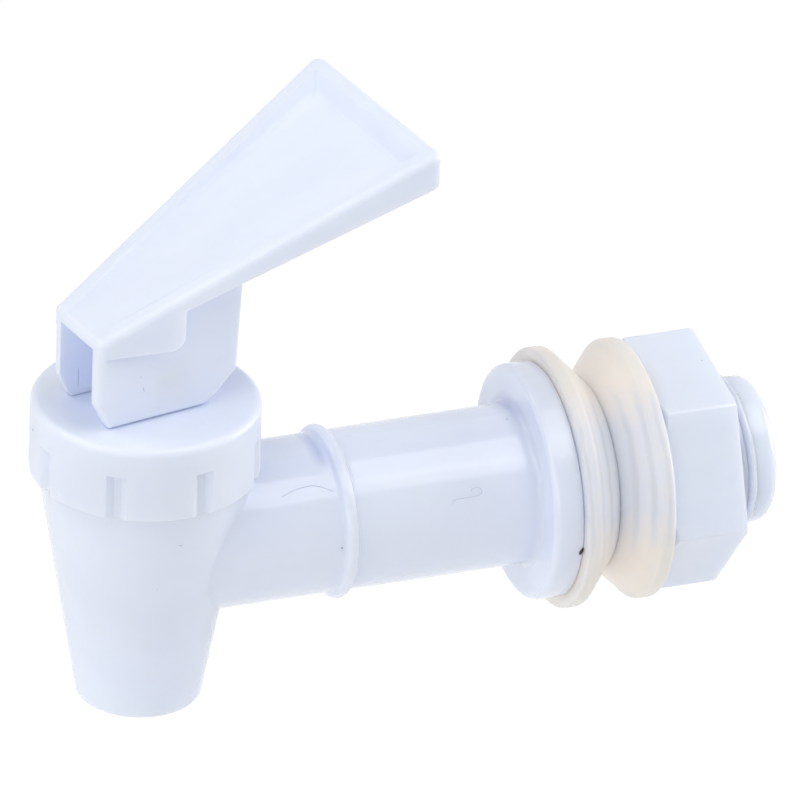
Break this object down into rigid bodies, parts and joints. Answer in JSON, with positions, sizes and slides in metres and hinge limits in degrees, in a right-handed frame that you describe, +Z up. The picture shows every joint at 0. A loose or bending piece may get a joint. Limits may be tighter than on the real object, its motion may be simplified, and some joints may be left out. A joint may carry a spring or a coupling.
{
  "type": "water dispenser spigot",
  "caption": "Push-lever spigot: conical spout with a screwed bonnet and a tilting lever, on a flanged pipe whose shank carries two tapered washers and a hexagon nut.",
  "frame": {"origin": "centre of the flange's wall side, on the axis of the pipe and shank", "axes": "+X along the shank into the vessel, +Z up along the spout's axis, away from the outlet"},
  "size_m": [0.1002, 0.0389, 0.0782],
  "materials": {
    "body_plastic": "glossy white, faintly blue",
    "cap_plastic": "satin white",
    "lever_plastic": "satin white",
    "nut_plastic": "satin white",
    "stem_plastic": "satin white",
    "plug_silicone": "matte, milky",
    "washer_silicone": "milky and half translucent",
    "spring_steel": "bright wire"
  },
  "bodies": {
    "spigot": {"spigot_body": "body_plastic", "bonnet_cap": "cap_plastic", "outer_washer": "washer_silicone"},
    "seal": {"valve_plug": "plug_silicone", "stem_spring": "spring_steel"},
    "stem": {"valve_stem": "stem_plastic"},
    "lever": {"lever_handle": "lever_plastic"},
    "washer": {"inner_washer": "washer_silicone"},
    "nut": {"lock_nut": "nut_plastic"}
  },
  "joints": [
    {"name": "valve_lift", "type": "slide", "parent": "spigot", "child": "seal", "axis": [0, 0, 1], "range_m": [0, 0.0031], "deforming": ["valve_plug", "stem_spring"]},
    {"name": "stem_swivel", "type": "hinge", "parent": "seal", "child": "stem", "pos_m": [-0.0556, 0, 0], "axis": [0, 0, 1], "continuous": true},
    {"name": "lever_tilt", "type": "hinge", "parent": "stem", "child": "lever", "pos_m": [-0.0556, 0, 0.0263], "axis": [-0.1908, 0.9816, 0], "range_deg": [0, 45], "stiffness_Nm_per_rad": 0.12, "springref_deg": -28.65},
    {"name": "nut_travel", "type": "slide", "parent": "spigot", "child": "washer", "axis": [1, 0, 0], "range_m": [0, 0.01089]},
    {"name": "nut_turn", "type": "hinge", "parent": "washer", "child": "nut", "pos_m": [0.0174, 0, 0], "axis": [1, 0, 0], "range_deg": [0, 2160]}
  ],
  "couplings": [
    {"joint": "valve_lift", "follows": "lever_tilt", "m_per_rad": 0.0039},
    {"joint": "nut_travel", "follows": "nut_turn", "m_per_rad": 0.00028871}
  ]
}
